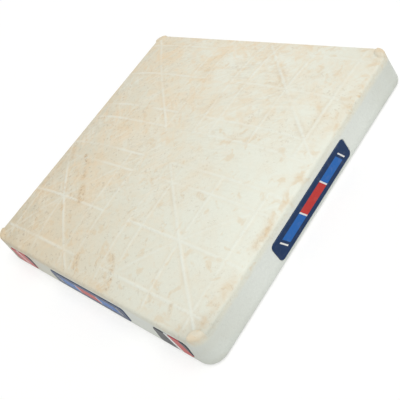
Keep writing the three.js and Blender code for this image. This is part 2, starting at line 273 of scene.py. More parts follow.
def settle(piece: Object, material: Material, body: str, node: str) -> None:
    """Shades a finished piece, gives it its material and sets it on the frame in place of a node.

    Args:
        piece: Object with its final mesh.
        material: Its finish.
        body: Body that it rides on.
        node: Node that it stands for.
    """
    mesh = piece.data
    mesh.shade_smooth()
    mesh.set_sharp_from_angle(angle=SHARP_ANGLE)
    mesh.materials.clear()
    mesh.materials.append(material)
    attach(piece, body)
    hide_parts(node)
    LOG.info("%s: %d faces, rides on %s", piece.name, len(mesh.polygons), body)


def paint(mesh: Mesh, name: str, values: np.ndarray) -> None:
    """Stores one number for each point of a mesh, for its material to read."""
    attribute = mesh.attributes.new(name, "FLOAT", "POINT")
    attribute.data.foreach_set("value", values.astype(np.float32))


def points_of(mesh: Mesh) -> np.ndarray:
    """Reads the points of a mesh.

    Args:
        mesh: Mesh in metres.

    Returns:
        Its points in millimetres.
    """
    flat = np.zeros(len(mesh.vertices) * 3, np.float32)
    mesh.vertices.foreach_get("co", flat)
    return flat.reshape(-1, 3).astype(float) / MM


@dataclass(frozen=True)
class Tint:
    """One layer of colour in a finish: what it looks like, where it lies and how much of it shows."""

    colour: str
    masks: tuple[NodeSocket, ...]
    strength: float

    def over(self, tree: NodeTree, under: NodeSocket | str) -> NodeSocket:
        """Lays the tint over a colour.

        Args:
            tree: Tree of the material.
            under: Colour below the tint, as a socket or an sRGB hex colour.

        Returns:
            The colour with the tint on it.
        """
        amount: NodeSocket | float = self.strength
        for mask in self.masks:
            product = add_node(tree, "Math", {0: mask, 1: amount}, operation="MULTIPLY")
            amount = product.outputs[0]
        below = linear(under) if isinstance(under, str) else under
        inputs = {MIX_FACTOR: amount, MIX_UNDER: below, MIX_OVER: linear(self.colour)}
        return add_node(tree, "Mix", inputs, data_type="RGBA").outputs[MIX_RESULT]


@dataclass(frozen=True)
class Finish(ABC):
    """What all finishes share: a name, and one shader over patterns in the object's own space."""

    name: str

    @abstractmethod
    def surface(self, tree: NodeTree, place: NodeSocket) -> dict[str, NodeSocket | float]:
        """Makes the patterns of the finish.

        Args:
            tree: Tree of the material.
            place: Coordinates.

        Returns:
            What each input of the shader is set to or linked from.
        """

    def material(self) -> Material:
        """Builds the material.

        Returns:
            The material, which reads what its pieces store on their meshes.
        """
        material, tree, surface = new_material(self.name)
        place = add_node(tree, "TexCoord").outputs["Object"]
        shader = add_node(tree, "BsdfPrincipled", self.surface(tree, place))
        tree.links.new(shader.outputs[0], surface)
        return material


@dataclass(frozen=True)
class MouldedRubber(Finish):
    """White rubber, compression moulded and played on.

    To the eye it is a matt cream skin, greyer at the foot, with clay rubbed into its top in strokes and
    dabs, ribs worn pale and a browned edge. Light and shade are painted on it too: painted shade greys its
    corners, darkens it towards the far side and lines the ribs' feet, and a painted highlight adds to the
    ribs' worn pale crests.
    """

    name: str = "moulded_white_rubber"
    side: str = "#E5E9E2"
    top: str = "#E9ECDF"
    rubbed: str = "#EFF4EC"
    clay: str = "#E8CFAA"
    painted_shade: str = "#C0B59A"
    ochre: str = "#D9B888"
    grime_and_shade: str = "#B3A48D"
    scuff: str = "#8A6A4C"
    foot_grey: str = "#BCC2B9"
    foot_height: float = 12.0
    top_low: float = 31.0
    top_full: float = 39.0
    zone: float = 60.0
    grain: float = 3.6
    grain_weight: float = 4.0

    def patches(self, tree: NodeTree, place: NodeSocket, size: float, low: float, high: float, seed: float,
                warp: float = 0.0, detail: float = 3.0) -> NodeSocket:
        """A mask of ragged patches.

        Args:
            tree: Tree of the material.
            place: Coordinates.
            size: Size of a patch in millimetres.
            low: Noise value where a patch fades in.
            high: Noise value where it is full.
            seed: Picks one of many patterns.
            warp: How much the patches are twisted.
            detail: How many finer patterns lie within them.

        Returns:
            A socket from 0 to 1.
        """
        inputs = {"Vector": place, "W": seed, "Scale": per_size(size), "Detail": detail, "Distortion": warp}
        cloud = add_node(tree, "TexNoise", inputs, noise_dimensions="4D")
        ramp = {"Value": cloud.outputs[0], "From Min": low, "From Max": high}
        return add_node(tree, "MapRange", ramp, interpolation_type="SMOOTHSTEP").outputs[0]

    def strokes(self, tree: NodeTree, place: NodeSocket, degrees: float, length: float, width: float,
                seed: float) -> NodeSocket:
        """A mask of strokes drawn one way across the top, thick here and thin there.

        Args:
            tree: Tree of the material.
            place: Coordinates.
            degrees: Direction of the strokes in plan.
            length: Length of a stroke in millimetres.
            width: Width of a stroke in millimetres.
            seed: Picks one of many patterns.

        Returns:
            A socket from 0 to 1.
        """
        turn = {"Vector": place, "Rotation": (0, 0, math.radians(degrees)), "Scale": (length / width, 1, 1)}
        drawn_out = add_node(tree, "Mapping", turn, vector_type="TEXTURE").outputs[0]
        return self.patches(tree, drawn_out, width, low=0.44, high=0.66, seed=seed, warp=0.8, detail=1.0)

    def towards(self, tree: NodeTree, place: NodeSocket, way: tuple[float, float, float], start: float,
                end: float, least: float) -> NodeSocket:
        """A mask that grows to 1 across the base.

        Args:
            tree: Tree of the material.
            place: Coordinates.
            way: Direction in which it grows, of length 1.
            start: Millimetres along it where the growth starts.
            end: Millimetres along it where the mask is 1.
            least: Value before the start.

        Returns:
            A socket from least to 1.
        """
        along = add_node(tree, "VectorMath", {0: place, 1: way}, operation="DOT_PRODUCT")
        growth = along.outputs["Value"]
        inputs = {"Value": growth, "From Min": start * MM, "From Max": end * MM, "To Min": least}
        return add_node(tree, "MapRange", inputs).outputs[0]

    def masks(self, tree: NodeTree, place: NodeSocket) -> dict[str, NodeSocket]:
        """Makes the masks that the tints lie in.

        Args:
            tree: Tree of the material.
            place: Coordinates.

        Returns:
            Masks by name: the cover's own marks, some of them where shade is painted, patches of wear and
                dirt, and parts of the base.
        """
        masks = {
            name: add_node(tree, "Attribute", attribute_name=name).outputs["Fac"]
            for name in ("rib", "rib_foot", "button", "edge", "corner", "washed", "scuff")
        }
        # Size, noise values where a patch fades in and is full, seed and warp
        patches = {
            "broad": (110, 0.38, 0.64, 1.0, 0.0),
            "cloudy": (48, 0.42, 0.62, 2.0, 0.8),
            "blotch": (19, 0.50, 0.66, 3.0, 0.9),
            "dab": (12, 0.56, 0.68, 4.0, 0.7),
            "speck": (4.5, 0.58, 0.68, 5.0, 1.0),
            "rags": (11, 0.36, 0.58, 6.0, 1.0),
            "pit": (3.2, 0.56, 0.68, 7.0, 1.0),
            "flecks": (5, 0.49, 0.60, 8.0, 1.4),
        }
        masks |= {name: self.patches(tree, place, *shape) for name, shape in patches.items()}
        height = add_node(tree, "SeparateXYZ", {0: place}).outputs["Z"]
        top = {"Value": height, "From Min": self.top_low * MM, "From Max": self.top_full * MM}
        foot = {"Value": height, "From Min": self.foot_height * MM, "From Max": 0.0}
        return masks | {
            "top": add_node(tree, "MapRange", top, interpolation_type="SMOOTHSTEP").outputs[0],
            "foot": add_node(tree, "MapRange", foot).outputs[0],
            "far": self.towards(tree, place, way=(-0.86, -0.5, 0), start=-130, end=230, least=0.0),
            "trodden": self.towards(tree, place, way=(-0.71, 0.7, 0), start=-140, end=110, least=0.20),
            "scratches": self.strokes(tree, place, degrees=48, length=46, width=3.2, seed=SCRATCH_SEED),
        }

    def tints(self, tree: NodeTree, place: NodeSocket, masks: dict[str, NodeSocket]) -> list[Tint]:
        """Lists the layers of colour on the plain side: dirt, wear, painted shade and painted highlight.

        Args:
            tree: Tree of the material.
            place: Coordinates.
            masks: Masks by name. Those of the strokes are added here.

        Returns:
            Tints, from the lowest up.
        """
        # Colour, strength and the masks that it lies in
        rows = [
            (self.foot_grey, 0.30, "foot"),
            # Painted shade: greyer at the corners
            (self.foot_grey, 0.34, "corner"),
            # Painted shade: darker towards the far side, and in patches at the corners, in place of lamp
            # falloff
            (self.painted_shade, 0.52, "far far"),
            (self.painted_shade, 0.10, "corner cloudy"),
            (self.grime_and_shade, 0.06, "speck cloudy"),
            (self.top, 1.0, "top"),
            # Painted shade: the top greyer at the corners
            (self.foot_grey, 0.15, "top corner"),
            # Painted shade on the top, darker towards the far side
            (self.painted_shade, 0.35, "top far"),
            (self.painted_shade, 0.70, "top far far"),
            (self.clay, 0.45, "top far broad"),
            (self.clay, 0.13, "top trodden"),
            (self.clay, 0.17, "top trodden cloudy"),
            (self.clay, 0.38, "top trodden cloudy blotch"),
        ]
        # Colour and strength of strokes, their direction, length and width
        ways = (
            (self.clay, 0.38, 40, 34, 12),
            (self.clay, 0.38, -46, 30, 10),
            (self.clay, 0.32, 4, 30, 11),
            (self.clay, 0.32, -74, 22, 9),
            (self.rubbed, 0.22, -42, 30, 5),
            (self.rubbed, 0.20, 40, 24, 5),
            (self.grime_and_shade, 0.18, 12, 14, 3),
        )
        for number, (colour, strength, *way) in enumerate(ways):
            strokes, zone = f"strokes_{number}", f"zone_{number}"
            masks[strokes] = self.strokes(tree, place, *way, seed=STROKE_SEED + number)
            masks[zone] = self.patches(
                tree, place, self.zone, low=0.44, high=0.60, seed=ZONE_SEED + number, warp=0.5
            )
            rows.append((colour, strength, f"top trodden {zone} {strokes}"))
        rows += [
            (self.ochre, 0.28, "top dab"),
            (self.grime_and_shade, 0.45, "top far speck"),
            (self.grime_and_shade, 0.30, "top cloudy pit"),
            (self.scuff, 0.22, "top far far speck"),
            (self.rubbed, 0.15, "top cloudy scratches"),
            # Painted shadow with grime and clay along the ribs' feet
            (self.grime_and_shade, 0.30, "rib_foot cloudy"),
            (self.clay, 0.30, "rib_foot"),
            # The ribs' crests lighter: worn clean, with a painted highlight
            (self.rubbed, 0.46, "rib"),
            (self.rubbed, 0.16, "rib far"),
            (self.ochre, 0.18, "edge cloudy"),
            (self.ochre, 0.45, "edge blotch"),
            # Painted shade: the top greyed next to the near corner, like the side
            (self.foot_grey, 0.42, "top washed"),
            (self.ochre, 0.27, "button"),
            (self.clay, 0.30, "button blotch"),
            (self.ochre, 0.60, "scuff rags"),
            (self.scuff, 0.65, "scuff scuff flecks"),
        ]
        return [Tint(colour, tuple(masks[name] for name in names.split()), strength)
                for colour, strength, names in rows]

    def surface(self, tree: NodeTree, place: NodeSocket) -> dict[str, NodeSocket | float]:
        """Makes the rubber's colour, fine relief and sheen.

        Args:
            tree: Tree of the material.
            place: Coordinates.

        Returns:
            What each input of the shader is set to or linked from.
        """
        masks = self.masks(tree, place)
        shade: NodeSocket | str = self.side
        for tint in self.tints(tree, place, masks):
            shade = tint.over(tree, shade)
        # The moulded grain is finer than this, and drawn coarser so that it shows
        inputs = {"Vector": place, "Scale": per_size(self.grain), "Detail": 4.0}
        grain = add_node(tree, "TexNoise", inputs)
        inputs = {0: grain.outputs[0], 1: self.grain_weight, 2: masks["scratches"]}
        heights = add_node(tree, "Math", inputs, operation="MULTIPLY_ADD")
        relief = {"Height": heights.outputs[0], "Strength": 0.30, "Distance": 0.35 * MM}
        sheen = {"Value": masks["cloudy"], "To Min": 0.58, "To Max": 0.74}
        return {
            "Base Color": shade,
            "Roughness": add_node(tree, "MapRange", sheen).outputs[0],
            "Normal": add_node(tree, "Bump", relief).outputs[0],
            "IOR": 1.52,
        }


@dataclass(frozen=True)
class CutFoam(Finish):
    """Closed-cell polyethylene foam, cut from a block: dark, dull and finely pitted."""

    name: str = "cut_closed_cell_foam"
    skin: str = "#4A4C4F"
    pit: str = "#2C2D30"
    cell: float = 1.4

    def surface(self, tree: NodeTree, place: NodeSocket) -> dict[str, NodeSocket | float]:
        """Makes the foam's cut cells.

        Args:
            tree: Tree of the material.
            place: Coordinates.

        Returns:
            What each input of the shader is set to or linked from.
        """
        cells = add_node(tree, "TexVoronoi", {"Vector": place, "Scale": per_size(self.cell)})
        wall = cells.outputs["Distance"]
        relief = {"Height": wall, "Strength": 0.6, "Distance": 0.5 * MM}
        return {
            # The cells' hollows are painted darker: painted shade
            "Base Color": Tint(self.skin, (wall,), 1.6).over(tree, self.pit),
            "Roughness": 0.95,
            "Normal": add_node(tree, "Bump", relief).outputs[0],
        }


@dataclass(frozen=True)
class ZincedSteel(Finish):
    """Steel with a zinc coat, dipped or plated.

    To the eye it is a grey metal whose small crystals catch the light, under a thin film of dry clay.
    A plated coat's crystals are too fine to show, so they are drawn coarser.
    """

    zinc: str
    dark_zinc: str
    crystal: float
    roughness: float
    dust: float
    clay: str = "#A89A86"
    grain: float = 3.0
    film: float = 70.0
    glint: float = 0.05
    dullness: float = 0.07

    def surface(self, tree: NodeTree, place: NodeSocket) -> dict[str, NodeSocket | float]:
        """Makes the zinc's crystals, its fine relief and the film on it.

        Args:
            tree: Tree of the material.
            place: Coordinates.

        Returns:
            What each input of the shader is set to or linked from.
        """
        inputs = {"Vector": place, "Scale": per_size(self.grain), "Detail": 5.0}
        grain = add_node(tree, "TexNoise", inputs)
        inputs = {"Vector": place, "Scale": per_size(self.film), "Detail": 8.0}
        film = add_node(tree, "TexNoise", inputs)
        inputs = {"Vector": place, "Scale": per_size(self.crystal), "Smoothness": 0.35}
        spangle = add_node(tree, "TexVoronoi", inputs, feature="SMOOTH_F1")
        flake = add_node(tree, "SeparateColor", {0: spangle.outputs["Color"]}).outputs[0]
        dusty = {"Value": film.outputs[0], "From Min": 0.35, "From Max": 0.75, "To Max": self.dust}
        dust = add_node(tree, "MapRange", dusty, interpolation_type="SMOOTHSTEP").outputs[0]
        shade = Tint(self.zinc, (flake,), 1.0).over(tree, self.dark_zinc)
        low, high = self.roughness - self.glint, self.roughness + self.dullness
        gloss = add_node(tree, "MapRange", {"Value": flake, "To Min": low, "To Max": high})
        dulled = add_node(tree, "Math", {0: gloss.outputs[0], 1: dust}, operation="ADD")
        relief = {"Height": grain.outputs[0], "Strength": 0.10, "Distance": 0.2 * MM}
        return {
            "Base Color": Tint(self.clay, (dust,), 1.0).over(tree, shade),
            "Metallic": add_node(tree, "Math", {0: 1.0, 1: dust}, operation="SUBTRACT").outputs[0],
            "Roughness": dulled.outputs[0],
            "Normal": add_node(tree, "Bump", relief).outputs[0],
        }


@dataclass(frozen=True)
class PrintedPlate(Finish):
    """ABS, injection moulded and printed: a satin plate, striped on its face, with edges rubbed paler."""

    ground: str
    band: float
    stripes: tuple[tuple[float, str], ...]
    slant: float = 0.45
    reach: float = 80.0
    rubbed: str = "#6D7688"
    dust: str = "#B9AE9B"
    cloud: float = 7.0
    grain: float = 0.7

    def printed(self, tree: NodeTree) -> NodeSocket:
        """Makes the slanted stripes in a band along the face.

        Args:
            tree: Tree of the material.

        Returns:
            The plate's colour when new.
        """
        along, up, face = (
            add_node(tree, "Attribute", attribute_name=name).outputs["Fac"]
            for name in ("plate_along", "plate_up", "plate_face")
        )
        leaning = add_node(tree, "Math", {0: up, 1: self.slant, 2: along}, operation="MULTIPLY_ADD")
        inputs = {"Value": leaning.outputs[0], "From Min": -self.reach, "From Max": self.reach}
        share = add_node(tree, "MapRange", inputs).outputs[0]
        colours = add_node(tree, "ValToRGB", {0: share})
        ramp = colours.color_ramp
        ramp.interpolation = "CONSTANT"
        ramp.elements[0].color = linear(self.ground)
        ramp.elements.remove(ramp.elements[1])
        for start, colour in self.stripes:
            stop = ramp.elements.new((start + self.reach) / (2 * self.reach))
            stop.color = linear(colour)
        height = add_node(tree, "Math", {0: up}, operation="ABSOLUTE").outputs[0]
        inside = add_node(tree, "Math", {0: height, 1: self.band}, operation="LESS_THAN").outputs[0]
        shown = add_node(tree, "Math", {0: inside, 1: face}, operation="MULTIPLY").outputs[0]
        inputs = {MIX_FACTOR: shown, MIX_UNDER: linear(self.ground), MIX_OVER: colours.outputs[0]}
        return add_node(tree, "Mix", inputs, data_type="RGBA").outputs[MIX_RESULT]

    def surface(self, tree: NodeTree, place: NodeSocket) -> dict[str, NodeSocket | float]:
        """Makes the print, with wear, dust and a fine moulded grain over it.

        Args:
            tree: Tree of the material.
            place: Coordinates.

        Returns:
            What each input of the shader is set to or linked from.
        """
        edge = add_node(tree, "Attribute", attribute_name="plate_edge").outputs["Fac"]
        inputs = {"Vector": place, "Scale": per_size(self.cloud), "Detail": 6.0}
        cloud = add_node(tree, "TexNoise", inputs).outputs[0]
        dusty = {"Value": cloud, "From Min": 0.50, "From Max": 0.80}
        dust = add_node(tree, "MapRange", dusty, interpolation_type="SMOOTHSTEP").outputs[0]
        shade = Tint(self.rubbed, (edge,), 0.20).over(tree, self.printed(tree))
        inputs = {"Vector": place, "Scale": per_size(self.grain), "Detail": 2.0}
        grain = add_node(tree, "TexNoise", inputs)
        relief = {"Height": grain.outputs[0], "Strength": 0.10, "Distance": 0.15 * MM}
        gloss = {"Value": cloud, "To Min": 0.22, "To Max": 0.40}
        return {
            "Base Color": Tint(self.dust, (dust,), 0.07).over(tree, shade),
            "Roughness": add_node(tree, "MapRange", gloss).outputs[0],
            "Normal": add_node(tree, "Bump", relief).outputs[0],
            "Specular IOR Level": 0.10,
        }


NAVY = "#1F385E"
BLUE = "#2A69B5"
RED = "#C43D3A"
INK = "#2A2B33"
CHALK = "#E9E9E6"


class Print(Enum):
    """The stripe designs printed on the side plates, each stripe from its start along the plate."""

    LONG = PrintedPlate(
        name="printed_plate_navy",
        ground=NAVY,
        band=5.6,
        stripes=(
            (-58.0, CHALK), (-56.0, NAVY), (-53.0, BLUE), (-21.0, CHALK), (-19.0, RED),
            (19.0, CHALK), (21.0, BLUE), (53.0, NAVY), (56.0, CHALK), (58.0, NAVY),
        ),
    )
    RED_SHORT = PrintedPlate(
        name="printed_plate_red",
        ground=RED,
        band=12.5,
        stripes=(
            (-24.0, INK), (-19.0, RED), (-3.0, CHALK), (-1.0, RED), (1.0, CHALK), (3.0, RED), (19.0, INK),
        ),
    )
    DARK_SHORT = PrintedPlate(
        name="printed_plate_dark",
        ground=INK,
        band=12.5,
        stripes=((-2.0, CHALK), (4.0, RED), (20.0, INK)),
    )


@dataclass
class Scuff:
    """A brown mark rubbed into the tread: two ends in plan, half of its width, and its strength."""

    start: tuple[float, float]
    end: tuple[float, float]
    half_width: float
    strength: float
    full_share: float = 0.2

    def cover(self, x: np.ndarray, y: np.ndarray) -> np.ndarray:
        """Works out how strong the mark is.

        Args:
            x: Places across.
            y: Places along.

        Returns:
            Numbers from 0 outside the mark to its strength in its middle.
        """
        along = np.subtract(self.end, self.start)
        length = max(float(along @ along), TINY)
        share = np.clip(((x - self.start[0]) * along[0] + (y - self.start[1]) * along[1]) / length, 0, 1)
        away = np.hypot(x - self.start[0] - share * along[0], y - self.start[1] - share * along[1])
        return self.strength * smooth_step(self.half_width, self.full_share * self.half_width, away)


# The darkest marks on the tread, about where the real base has them
SCUFFS = (
    Scuff((-168, -34), (-152, -52), 8.0, 0.5),
    Scuff((-170, -62), (-171, -100), 8.0, 0.45),
    Scuff((-124, -43), (-114, -51), 5.0, 0.9),
    Scuff((-108, -54), (-98, -70), 9.0, 0.55),
    Scuff((-102, -65), (-95, -74), 6.0, 0.75),
    Scuff((-84, -86), (-70, -103), 8.0, 0.7),
    Scuff((-118, -92), (-108, -97), 6.0, 0.45),
    Scuff((-94, -118), (-91, -122), 4.0, 0.8),
    Scuff((-69, -124), (-65, -132), 4.0, 0.5),
    Scuff((-136, -134), (-130, -136), 5.0, 0.55),
    Scuff((-160, -120), (-156, -126), 5.0, 0.5),
    Scuff((-19, -164), (-13, -180), 8.0, 0.7),
    Scuff((30, -146), (42, -161), 7.0, 0.6),
    Scuff((46, -165), (48, -178), 5.0, 0.85),
    Scuff((90, -50), (100, -53), 5.0, 0.5),
    Scuff((107, -164), (110, -171), 4.0, 0.4),
    Scuff((137, -163), (141, -173), 4.0, 0.5),
    Scuff((168, -138), (174, -142), 6.0, 0.35),
    Scuff((182, -58), (182, -80), 6.0, 0.4),
    Scuff((185.5, 117), (187, 118.5), 2.2, 1.0),
)


@dataclass
class RubberCover:
    """The moulded cover: crowned top with a rib tread and corner buttons, leaning sides, lip, pockets."""

    foot_half: float
    corner_radius: float = 19.0
    corner_least: float = 4.0
    corner_power: int = 6
    edge_height: float = 43.0
    draft: float = 4.0
    foot_round: float = 5.0
    edge_round: float = 4.0
    edge_arc: float = math.radians(72)
    crown_rise: float = 13.5
    crown_power: float = 4.3
    wall: float = 10.0
    lip: float = 3.8
    lip_half: float = 155.8
    lip_corner: float = 10.0

    # Tread. A rib's share is what is left of a full spoke's height
    rib_height: float = 0.9
    rib_half: float = 2.3
    rib_fade: float = 7.0
    band_half: float = 23.0
    frame_inset: float = 23.3
    frame_share: float = 0.72
    cross_share: float = 0.8
    # Rising spokes stand lower and are painted fainter than falling ones: painted light, since they run
    # along the light
    cross_spoke_share: float = 0.35
    button_radius: float = 11.0
    button_height: float = 2.0
    button_rim: float = 2.2
    button_root: float = 12.0
    button_from_edge: float = 4.5

    # Ribs along Y stand lower and are painted fainter, but less so to the front and to the right: painted
    # light, since ribs that run along the light show less
    upright_share: float = 0.52
    front_gain: float = 0.15
    right_gain: float = 0.35

    # Ribs along X stand lower and are painted fainter to the right: painted light, since they run along the
    # light there
    right_loss: float = 0.40

    # What play has left of the ribs: its mean, its change to the sides, its waves and its least
    kept_share: float = 0.70
    kept_across: float = 0.08
    kept_along: float = 0.10
    kept_waves: float = 0.70
    kept_least: float = 0.10
    wear_size: float = 42.0

    # Slight waves in the crown
    sag: float = 0.35
    sag_size: float = 80.0

    # Marks for the finish. A fade is two depths under the crown's edge
    top_fade: tuple[float, float] = (1.5, 0.0)
    button_fade: tuple[float, float] = (4.5, 1.0)
    scuff_fade: tuple[float, float] = (4.0, 2.0)
    crest_reach: float = 1.3
    rib_foot_reach: float = 3.0
    worn_reach: float = 9.0
    worn_inset: float = 2.5
    worn_least: float = 0.35
    worn_from: float = 100.0
    worn_full: float = 170.0
    # Where the painted shade at the corners starts
    corner_from: float = 80.0
    # Where the painted shade on the top by the near corner starts and is full
    corner_shade_from: float = 226.0
    corner_shade_full: float = 258.0

    # Steps of the mesh
    grid_step: float = 1.4
    coarse_step: float = 12.0
    arc_steps: int = 6
    side_steps: int = 6

    @property
    def top_half(self) -> float:
        """Half width where the sides end."""
        return self.foot_half - self.draft

    @property
    def side_top(self) -> float:
        """Height where the sides end."""
        return self.edge_height - self.edge_round * math.sin(self.edge_arc)

    @property
    def lean(self) -> float:
        """Angle between a side and the upright."""
        return math.atan(self.draft / (self.side_top - self.foot_round))

    def side_half(self, z: float) -> float:
        """Half width of the plain side at a height."""
        return self.foot_half - self.draft * (z - self.foot_round) / (self.side_top - self.foot_round)

    def rib_lines(self) -> list[tuple[float, float]]:
        """Lists the ribs along both axes.

        Returns:
            How far each rib runs from the middle, and its share of a spoke's height.
        """
        near, far = self.band_half, self.top_half
        return [
            (near, self.frame_share),
            (near + self.frame_inset, self.frame_share),
            ((near + far) / 2, self.cross_share),
            (far - self.frame_inset, self.frame_share),
        ]

    def ribs(self, x: np.ndarray, y: np.ndarray, half_width: float) -> np.ndarray:
        """Share of a spoke's full height at points of the plan.

        Args:
            x: Places across.
            y: Places along.
            half_width: Distance from a rib's middle line at which it ends.

        Returns:
            Shares from 0 between the ribs to 1 on a spoke's crest.
        """
        across, along = np.abs(x), np.abs(y)
        near, far = self.band_half, self.top_half
        outside_x, outside_y = np.maximum(near - across, 0), np.maximum(near - along, 0)
        inside = np.hypot(outside_x, outside_y)
        right, front = smooth_step(0, far, x + y), smooth_step(0, -far, y)
        upright = self.upright_share + self.front_gain * front + self.right_gain * right
        level = 1 - self.right_loss * right
        ridges = []
        for line, share in self.rib_lines():
            ridges.append((np.hypot(across - line, outside_y), upright * share))
            ridges.append((np.hypot(along - line, outside_x), level * share))
        outward, crosswise = across - along, across + along - near - far
        same_way = x * y < 0
        falling = np.where(same_way, outward, crosswise)
        rising = np.where(same_way, crosswise, outward)
        for slant, share in ((falling, 1.0), (rising, self.cross_spoke_share)):
            ridges.append((np.hypot(slant / math.sqrt(2), inside), share))
        profiles = [s * (0.5 + 0.5 * np.cos(math.pi * np.clip(d / half_width, 0, 1))) for d, s in ridges]
        return np.max(profiles, axis=0)

    def wear(self, x: np.ndarray, y: np.ndarray) -> np.ndarray:
        """How much of the ribs' height play has left at points of the plan."""
        slope = self.kept_share + self.kept_across * x / self.top_half - self.kept_along * y / self.top_half
        return (slope + self.kept_waves * waves(x, y, self.wear_size, WEAR_SEED)).clip(self.kept_least, 1)

    def relief(self, x: np.ndarray, y: np.ndarray) -> np.ndarray:
        """Height of the tread, and of the slight waves in the crown, over the plain crown."""
        tread = self.rib_height * self.ribs(x, y, self.rib_half) * self.wear(x, y)
        return tread + self.sag * waves(x, y, self.sag_size, SAG_SEED)

    def button_share(self, x: np.ndarray, y: np.ndarray) -> np.ndarray:
        """Works out where the corner buttons are.

        Args:
            x: Places across.
            y: Places along.

        Returns:
            Shares of a button's full height.
        """
        reach = self.top_half - self.button_from_edge
        away = np.hypot(np.abs(x) - reach, np.abs(y) - reach)
        return smooth_step(self.button_radius, self.button_radius - self.button_rim, away)

    def grid_lines(self, rim: float, step: float, keys: list[float]) -> np.ndarray:
        """Places the top's grid lines, even between keys and alike on both sides of the middle.

        Args:
            rim: Half width of the grid.
            step: Widest gap between two lines.
            keys: Distances from the middle that get a line, in order.

        Returns:
            Places of the lines.
        """
        stops = [0.0, *(k for k in keys if k < rim), rim]
        places = [0.0]
        for low, high in zip(stops, stops[1:]):
            places += np.linspace(low, high, math.ceil((high - low) / step) + 1)[1:].tolist()
        return np.array([-p for p in reversed(places[1:])] + places)

    def corner_at(self, half: float) -> float:
        """Plan radius of the corners where the form is that half width."""
        return max(self.corner_least, self.corner_radius - (self.foot_half - half))

    @staticmethod
    def on_ring(x: np.ndarray, y: np.ndarray, half: np.ndarray | float, radius: np.ndarray | float,
                straight: np.ndarray | float) -> np.ndarray:
        """Moves points of a square to a square with rounded corners.

        Args:
            x: Places across, on a square about the middle.
            y: Places along.
            half: Half width of the new square.
            radius: Radius of its corners.
            straight: Share of a half side that stays straight.

        Returns:
            New places, across and along.
        """
        across, along = np.abs(x), np.abs(y)
        share = np.minimum(across, along) / np.maximum(np.maximum(across, along), TINY)
        turn = np.clip((share - straight) / np.maximum(1 - straight, TINY), 0, 1) * (UP_TURN / 2)
        flat = half - radius
        aside = np.where(share <= straight, share / straight * flat, flat + radius * np.sin(turn))
        out = flat + radius * np.cos(turn)
        wide = across >= along
        new_x, new_y = np.where(wide, out, aside), np.where(wide, aside, out)
        return np.stack([np.sign(x) * new_x, np.sign(y) * new_y], 1)

    def rim_half(self, inset: float = 0.0) -> float:
        """Half width of the crown's edge, drawn in from the cover's."""
        return self.top_half - inset - self.edge_round * (1 - math.cos(self.edge_arc))

    def crown(self, x: np.ndarray, y: np.ndarray, inset: float, fine: bool) -> np.ndarray:
        """Points of the cover's crown, over a square grid that reaches to its edge.

        Args:
            x: Places of the grid's points across.
            y: Places of the grid's points along.
            inset: How far the form's sides lie inside the cover's.
            fine: Whether it has the tread and the buttons.

        Returns:
            Points, with the grid's corners rounded in plan.
        """
        rim = self.rim_half(inset)
        half = np.maximum(np.abs(x), np.abs(y))
        radius = self.corner_at(rim + inset) * (half / rim) ** self.corner_power
        plan = self.on_ring(x, y, half, radius, 1 - radius / np.maximum(half, TINY))
        rise = (1 - np.abs(x / rim) ** self.crown_power) * (1 - np.abs(y / rim) ** self.crown_power)
        z = self.edge_height + self.crown_rise * rise
        if fine:
            button = self.button_share(*plan.T)
            tread = self.relief(*plan.T) * smooth_step(0, self.rib_fade, rim - half)
            z = z + tread * (1 - button) + self.button_height * button
        return np.column_stack([plan, z])

    def side_levels(self, lift: float, bottom: float) -> list[tuple[float, float]]:
        """Rings of the side, from just below the crown's edge to the underside.

        Args:
            lift: How far the crown lies over the cover's.
            bottom: Height of the flat underside. At 0 it has the cover's rounded foot.

        Returns:
            Half width and height of each ring.
        """
        levels = []
        for step in range(1, self.arc_steps + 1):
            angle = self.edge_arc * (1 - step / self.arc_steps)
            drop = self.edge_round * (math.sin(self.edge_arc) - math.sin(angle))
            width = self.top_half - self.edge_round * (1 - math.cos(angle))
            levels.append((width, self.edge_height + lift - drop))
        low = self.foot_round if bottom == 0 else bottom
        high = self.side_top + lift
        for step in range(1, self.side_steps + 1):
            height = high + (low - high) * step / self.side_steps
            levels.append((self.side_half(height - lift * (height - low) / (high - low)), height))
        if bottom == 0:
            for sideways, up in quarter(self.foot_round, self.arc_steps)[1:]:
                levels.append((self.foot_half - sideways, self.foot_round - up))
        return levels

    def crowned_shell(self, inset: float, lift: float, bottom: float, fine: bool) -> Shell:
        """The crowned form, drawn in from its sides and raised or lowered as one.

        Args:
            inset: How far its sides lie inside the cover's.
            lift: How far its crown lies over the cover's.
            bottom: Height of its flat underside. At 0 it has the cover's rounded foot.
            fine: Whether it has the tread and the buttons, on a grid that can show them.

        Returns:
            A closed shell.
        """
        rim = self.rim_half(inset)
        lines = self.grid_lines(rim, self.coarse_step, [])
        if fine:
            ends = (-self.rib_half, 0, self.rib_half)
            keys = [line + end for line, _ in self.rib_lines() for end in ends]
            lines = self.grid_lines(rim, self.grid_step, keys)
        x, y = (axis.ravel() for axis in np.meshgrid(lines, lines))
        points = [self.crown(x, y, inset, fine) + (0, 0, lift)]
        count, last = len(lines), len(lines) ** 2 - 1
        starts = [row * count + i for row in range(count - 1) for i in range(count - 1)]
        faces: list[tuple[int, ...]] = [(i, i + 1, i + 1 + count, i + count) for i in starts]
        loop = [*range(count - 1), *range(count - 1, last, count), *range(last, last - count + 1, -1)]
        loop += range(last - count + 1, 0, -count)

